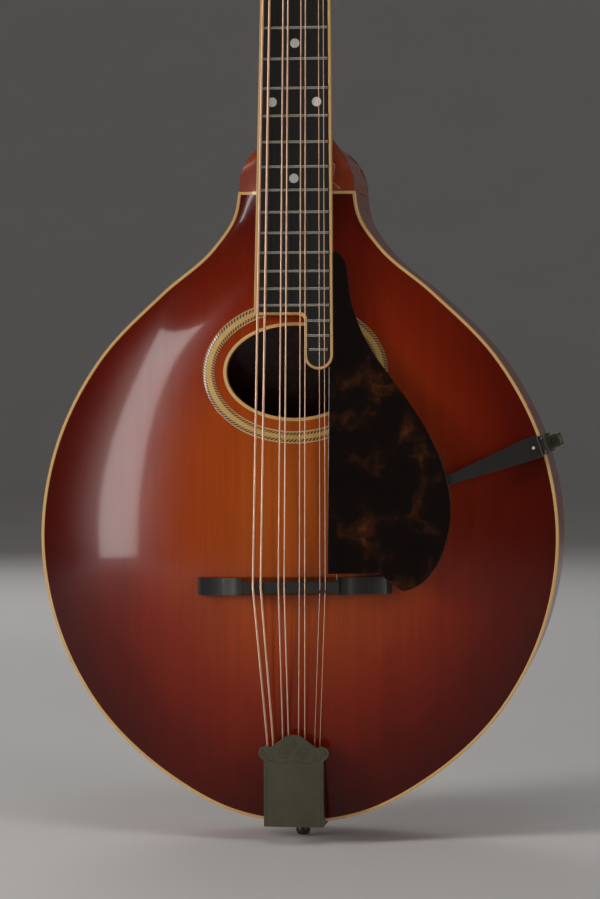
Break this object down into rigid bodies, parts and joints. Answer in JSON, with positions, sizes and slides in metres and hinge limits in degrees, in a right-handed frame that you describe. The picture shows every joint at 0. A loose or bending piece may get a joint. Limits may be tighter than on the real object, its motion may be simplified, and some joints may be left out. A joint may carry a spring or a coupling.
{
  "type": "mandocello",
  "caption": "Arched-top mandocello with oval sound hole, double courses, raised finger rest, tailpiece with sliding cover and worm-geared tuning machines.",
  "frame": {"origin": "centre of the end pin's flat outer face, at the tail", "axes": "+X to the treble side, +Y to the back, +Z along the body towards the headstock"},
  "size_m": [0.3539, 0.1403, 0.9895],
  "materials": {
    "spruce_sunburst": "gloss varnish, amber centre to dark red edge",
    "stained_maple": "gloss varnish over red-brown stain",
    "stained_mahogany": "gloss varnish over red-brown stain",
    "ebony": "satin black",
    "ivoroid": "aged ivory plastic",
    "rosette_inlay": "yellow band between rope marquetry",
    "lining_willow": "bare wood",
    "block_mahogany": "bare wood",
    "bone": "polished bone",
    "bronze_wire": "wound bronze wire",
    "nickel_silver": "aged nickel plate",
    "button_ivory": "ivory-coloured buttons",
    "tortoise_celluloid": "dark tortoise pattern"
  },
  "bodies": {
    "body": {"back_plate": "stained_maple", "bridge": "ebony", "clamp_front_jaw": "nickel_silver", "end_pin": "ebony", "finger_rest": "tortoise_celluloid", "fingerboard": "ebony", "fingerboard_binding": "ivoroid", "headstock_overlay": "ebony", "lining_back_bass": "lining_willow", "lining_back_treble": "lining_willow", "lining_front_bass": "lining_willow", "lining_front_treble": "lining_willow", "neck": "stained_mahogany", "neck_block": "block_mahogany", "nut": "bone", "rest_arm": "ebony", "rest_pin": "nickel_silver", "rib_bass": "stained_maple", "rib_treble": "stained_maple", "rosette": "rosette_inlay", "soundhole_binding": "ivoroid", "string_1": "bronze_wire", "string_2": "bronze_wire", "string_3": "bronze_wire", "string_4": "bronze_wire", "string_5": "bronze_wire", "string_6": "bronze_wire", "string_7": "bronze_wire", "string_8": "bronze_wire", "tail_block": "block_mahogany", "tailpiece_base": "nickel_silver", "top_binding": "ivoroid", "top_brace": "spruce_sunburst", "top_plate": "spruce_sunburst", "tuner_strip_bass": "nickel_silver", "tuner_strip_treble": "nickel_silver"},
    "post_1": {"tuner_post_1": "nickel_silver"},
    "button_1": {"tuner_button_1": "button_ivory"},
    "post_2": {"tuner_post_2": "nickel_silver"},
    "button_2": {"tuner_button_2": "button_ivory"},
    "post_3": {"tuner_post_3": "nickel_silver"},
    "button_3": {"tuner_button_3": "button_ivory"},
    "post_4": {"tuner_post_4": "nickel_silver"},
    "button_4": {"tuner_button_4": "button_ivory"},
    "post_5": {"tuner_post_5": "nickel_silver"},
    "button_5": {"tuner_button_5": "button_ivory"},
    "post_6": {"tuner_post_6": "nickel_silver"},
    "button_6": {"tuner_button_6": "button_ivory"},
    "post_7": {"tuner_post_7": "nickel_silver"},
    "button_7": {"tuner_button_7": "button_ivory"},
    "post_8": {"tuner_post_8": "nickel_silver"},
    "button_8": {"tuner_button_8": "button_ivory"},
    "tail_cover": {"tailpiece_cover": "nickel_silver"},
    "screw": {"clamp_screw": "nickel_silver"},
    "back_jaw": {"clamp_back_jaw": "nickel_silver"}
  },
  "joints": [
    {"name": "post_1_turn", "type": "hinge", "parent": "body", "child": "post_1", "pos_m": [0, 0, 0], "axis": [0, 0.9527, -0.304], "continuous": true},
    {"name": "button_1_turn", "type": "hinge", "parent": "body", "child": "button_1", "pos_m": [0, 0, 0], "axis": [1, 0, 0], "continuous": true},
    {"name": "post_2_turn", "type": "hinge", "parent": "body", "child": "post_2", "pos_m": [0, 0, 0], "axis": [0, 0.9527, -0.304], "continuous": true},
    {"name": "button_2_turn", "type": "hinge", "parent": "body", "child": "button_2", "pos_m": [0, 0, 0], "axis": [1, 0, 0], "continuous": true},
    {"name": "post_3_turn", "type": "hinge", "parent": "body", "child": "post_3", "pos_m": [0, 0, 0], "axis": [0, 0.9527, -0.304], "continuous": true},
    {"name": "button_3_turn", "type": "hinge", "parent": "body", "child": "button_3", "pos_m": [0, 0, 0], "axis": [1, 0, 0], "continuous": true},
    {"name": "post_4_turn", "type": "hinge", "parent": "body", "child": "post_4", "pos_m": [0, 0, 0], "axis": [0, 0.9527, -0.304], "continuous": true},
    {"name": "button_4_turn", "type": "hinge", "parent": "body", "child": "button_4", "pos_m": [0, 0, 0], "axis": [1, 0, 0], "continuous": true},
    {"name": "post_5_turn", "type": "hinge", "parent": "body", "child": "post_5", "pos_m": [0, 0, 0], "axis": [0, 0.9527, -0.304], "continuous": true},
    {"name": "button_5_turn", "type": "hinge", "parent": "body", "child": "button_5", "pos_m": [0, 0, 0], "axis": [1, 0, 0], "continuous": true},
    {"name": "post_6_turn", "type": "hinge", "parent": "body", "child": "post_6", "pos_m": [0, 0, 0], "axis": [0, 0.9527, -0.304], "continuous": true},
    {"name": "button_6_turn", "type": "hinge", "parent": "body", "child": "button_6", "pos_m": [0, 0, 0], "axis": [1, 0, 0], "continuous": true},
    {"name": "post_7_turn", "type": "hinge", "parent": "body", "child": "post_7", "pos_m": [0, 0, 0], "axis": [0, 0.9527, -0.304], "continuous": true},
    {"name": "button_7_turn", "type": "hinge", "parent": "body", "child": "button_7", "pos_m": [0, 0, 0], "axis": [1, 0, 0], "continuous": true},
    {"name": "post_8_turn", "type": "hinge", "parent": "body", "child": "post_8", "pos_m": [0, 0, 0], "axis": [0, 0.9527, -0.304], "continuous": true},
    {"name": "button_8_turn", "type": "hinge", "parent": "body", "child": "button_8", "pos_m": [0, 0, 0], "axis": [1, 0, 0], "continuous": true},
    {"name": "tailpiece_cover_slide", "type": "slide", "parent": "body", "child": "tail_cover", "axis": [0, 0, -1], "range_m": [0, 0.045]},
    {"name": "clamp_screw_turn", "type": "hinge", "parent": "body", "child": "screw", "pos_m": [0, 0, 0], "axis": [0, 1, 0], "range_deg": [0, 1440]},
    {"name": "clamp_back_jaw_slide", "type": "slide", "parent": "body", "child": "back_jaw", "axis": [0, 1, 0], "range_m": [0, 0.004]}
  ],
  "couplings": [
    {"joint": "button_1_turn", "follows": "post_1_turn", "ratio": 14},
    {"joint": "button_2_turn", "follows": "post_2_turn", "ratio": 14},
    {"joint": "button_3_turn", "follows": "post_3_turn", "ratio": 14},
    {"joint": "button_4_turn", "follows": "post_4_turn", "ratio": 14},
    {"joint": "button_5_turn", "follows": "post_5_turn", "ratio": 14},
    {"joint": "button_6_turn", "follows": "post_6_turn", "ratio": 14},
    {"joint": "button_7_turn", "follows": "post_7_turn", "ratio": 14},
    {"joint": "button_8_turn", "follows": "post_8_turn", "ratio": 14},
    {"joint": "clamp_back_jaw_slide", "follows": "clamp_screw_turn", "m_per_rad": 0.00015915}
  ]
}
